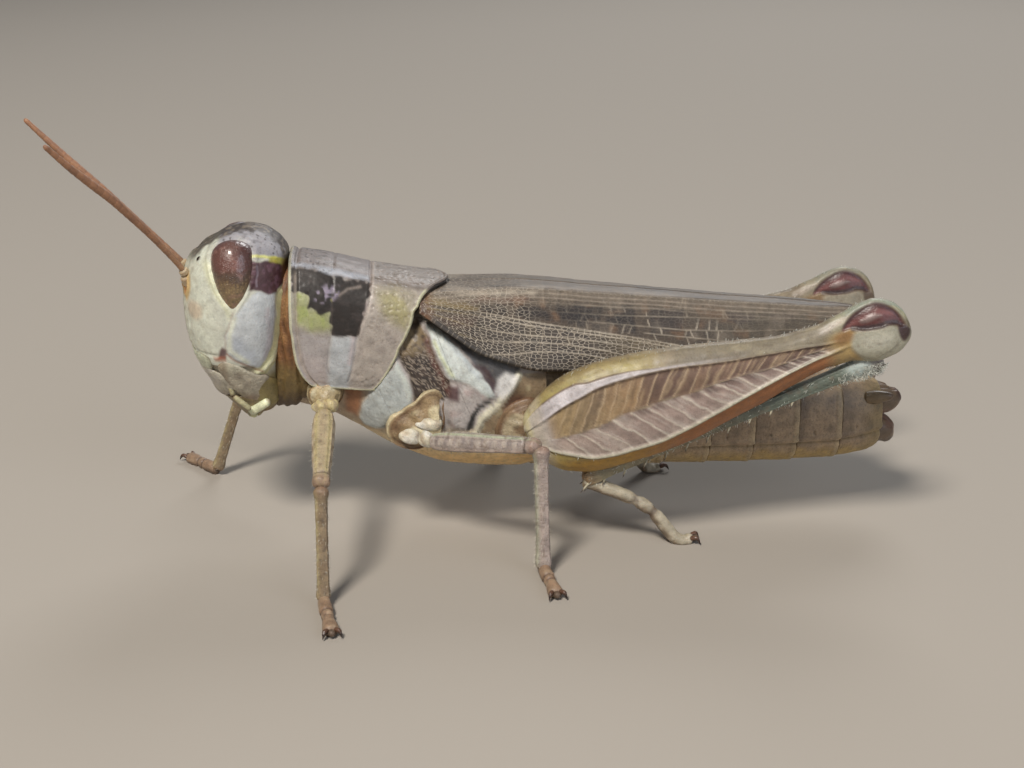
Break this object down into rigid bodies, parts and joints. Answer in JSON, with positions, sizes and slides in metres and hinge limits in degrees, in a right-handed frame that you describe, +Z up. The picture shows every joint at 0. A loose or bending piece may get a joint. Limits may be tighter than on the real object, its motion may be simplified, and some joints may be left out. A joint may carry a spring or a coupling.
{
  "type": "spur-throated grasshopper model",
  "caption": "Still, life-size model of a female spur-throated grasshopper, standing with wings and jumping legs folded.",
  "frame": {"origin": "on the floor under the middle of the bounding box, feelers and feet included", "axes": "+X towards the tail, so the head faces -X; +Y towards the animal's right side; +Z up, with the soles of the feet at z = 0"},
  "size_m": [0.035, 0.0194, 0.0167],
  "materials": {
    "head_cuticle": "waxy satin shell",
    "compound_eye": "glossy, faceted",
    "antenna_cuticle": "satin, ringed",
    "mouthpart_cuticle": "satin shell",
    "pronotum_cuticle": "dull, finely pitted shell",
    "thorax_cuticle": "waxy satin shell",
    "abdomen_cuticle": "satin shell",
    "tegmen_membrane": "dull leathery wing cover with raised veins",
    "hind_wing_membrane": "thin papery membrane",
    "walking_leg_cuticle": "satin shell",
    "hind_femur_cuticle": "satin shell with ridges",
    "hind_tibia_cuticle": "satin shell with spines",
    "tail_cuticle": "hard, slightly glossy shell"
  },
  "bodies": {
    "root": {"head": "head_cuticle", "clypeus_labrum": "head_cuticle", "eye_left": "compound_eye", "antenna_left": "antenna_cuticle", "mandible_left": "mouthpart_cuticle", "maxilla_left": "mouthpart_cuticle", "eye_right": "compound_eye", "antenna_right": "antenna_cuticle", "mandible_right": "mouthpart_cuticle", "maxilla_right": "mouthpart_cuticle", "labium": "mouthpart_cuticle", "pronotum": "pronotum_cuticle", "prothorax": "thorax_cuticle", "mesothorax": "thorax_cuticle", "metathorax": "thorax_cuticle", "abdomen_1": "abdomen_cuticle", "abdomen_2": "abdomen_cuticle", "abdomen_3": "abdomen_cuticle", "abdomen_4": "abdomen_cuticle", "abdomen_5": "abdomen_cuticle", "abdomen_6": "abdomen_cuticle", "abdomen_7": "abdomen_cuticle", "abdomen_8": "abdomen_cuticle", "tegmen_left": "tegmen_membrane", "hind_wing_left": "hind_wing_membrane", "tegmen_right": "tegmen_membrane", "hind_wing_right": "hind_wing_membrane", "fore_coxa_left": "walking_leg_cuticle", "fore_femur_left": "walking_leg_cuticle", "fore_tibia_left": "walking_leg_cuticle", "fore_tarsus_left": "walking_leg_cuticle", "fore_coxa_right": "walking_leg_cuticle", "fore_femur_right": "walking_leg_cuticle", "fore_tibia_right": "walking_leg_cuticle", "fore_tarsus_right": "walking_leg_cuticle", "mid_coxa_left": "walking_leg_cuticle", "mid_femur_left": "walking_leg_cuticle", "mid_tibia_left": "walking_leg_cuticle", "mid_tarsus_left": "walking_leg_cuticle", "mid_coxa_right": "walking_leg_cuticle", "mid_femur_right": "walking_leg_cuticle", "mid_tibia_right": "walking_leg_cuticle", "mid_tarsus_right": "walking_leg_cuticle", "hind_coxa_left": "walking_leg_cuticle", "hind_femur_left": "hind_femur_cuticle", "hind_tibia_left": "hind_tibia_cuticle", "hind_tarsus_left": "hind_tibia_cuticle", "hind_coxa_right": "walking_leg_cuticle", "hind_femur_right": "hind_femur_cuticle", "hind_tibia_right": "hind_tibia_cuticle", "hind_tarsus_right": "hind_tibia_cuticle", "cercus_left": "tail_cuticle", "cercus_right": "tail_cuticle", "ovipositor_upper": "tail_cuticle", "ovipositor_lower": "tail_cuticle"}
  },
  "joints": []
}
